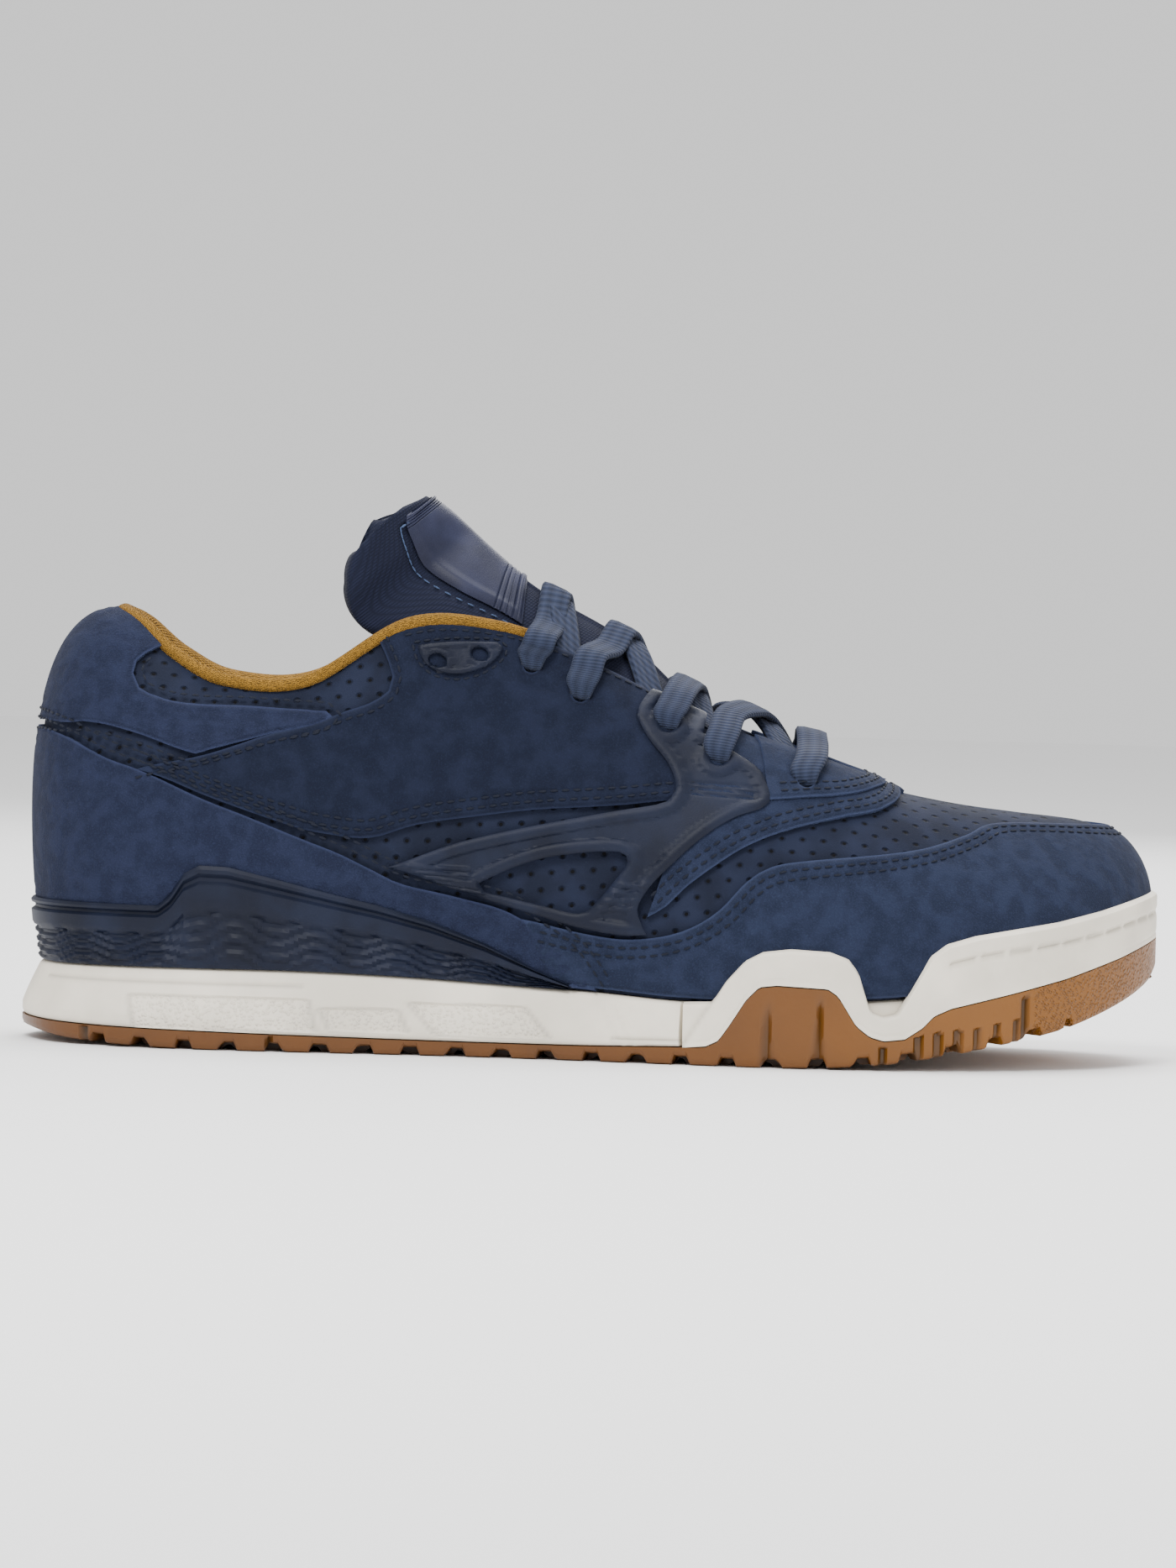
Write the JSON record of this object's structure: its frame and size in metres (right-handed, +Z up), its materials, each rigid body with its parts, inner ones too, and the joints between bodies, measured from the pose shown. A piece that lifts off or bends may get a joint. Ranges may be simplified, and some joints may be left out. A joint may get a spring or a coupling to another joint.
{
  "type": "skateboarding shoe",
  "caption": "Low right skateboarding shoe with a hollow suede upper, padded collar, tall tongue, flat laces, moulded heel wedge and a gum cup sole with edge lugs.",
  "frame": {"origin": "middle of the bounding box in plan, on the floor under the sole", "axes": "+X from heel to toe, +Z up, -Y on the lateral side of this right shoe"},
  "size_m": [0.3, 0.1098, 0.1454],
  "materials": {
    "gum_rubber": "semi-gloss gum rubber, pebbled at the toe",
    "white_rubber": "matte warm white foam and rubber",
    "moulded_navy": "smooth moulded rubber and plastic, dark navy",
    "navy_suede": "napped suede, navy",
    "navy_cloth": "plain weave, dark navy",
    "ochre_knit": "open knit, ochre",
    "lace": "flat braid, navy",
    "insole_cloth": "cloth over foam"
  },
  "bodies": {
    "root": {"outsole": "gum_rubber", "midsole": "white_rubber", "foxing_band": "white_rubber", "heel_wedge": "moulded_navy", "insole": "insole_cloth", "upper": "navy_cloth", "heel_counter": "navy_suede", "collar_panel": "navy_suede", "toe_mudguard": "navy_suede", "vamp_stay": "navy_suede", "quarter_lateral": "navy_suede", "quarter_medial": "navy_suede", "saddle_lateral": "moulded_navy", "saddle_medial": "moulded_navy", "eyelet_plate_lateral": "moulded_navy", "eyelet_plate_medial": "moulded_navy", "collar_lining": "ochre_knit", "tongue": "navy_cloth", "tongue_label": "moulded_navy", "lace_bar": "lace", "lace_cross_1": "lace", "lace_cross_2": "lace", "lace_cross_3": "lace", "lace_cross_4": "lace"}
  },
  "joints": []
}
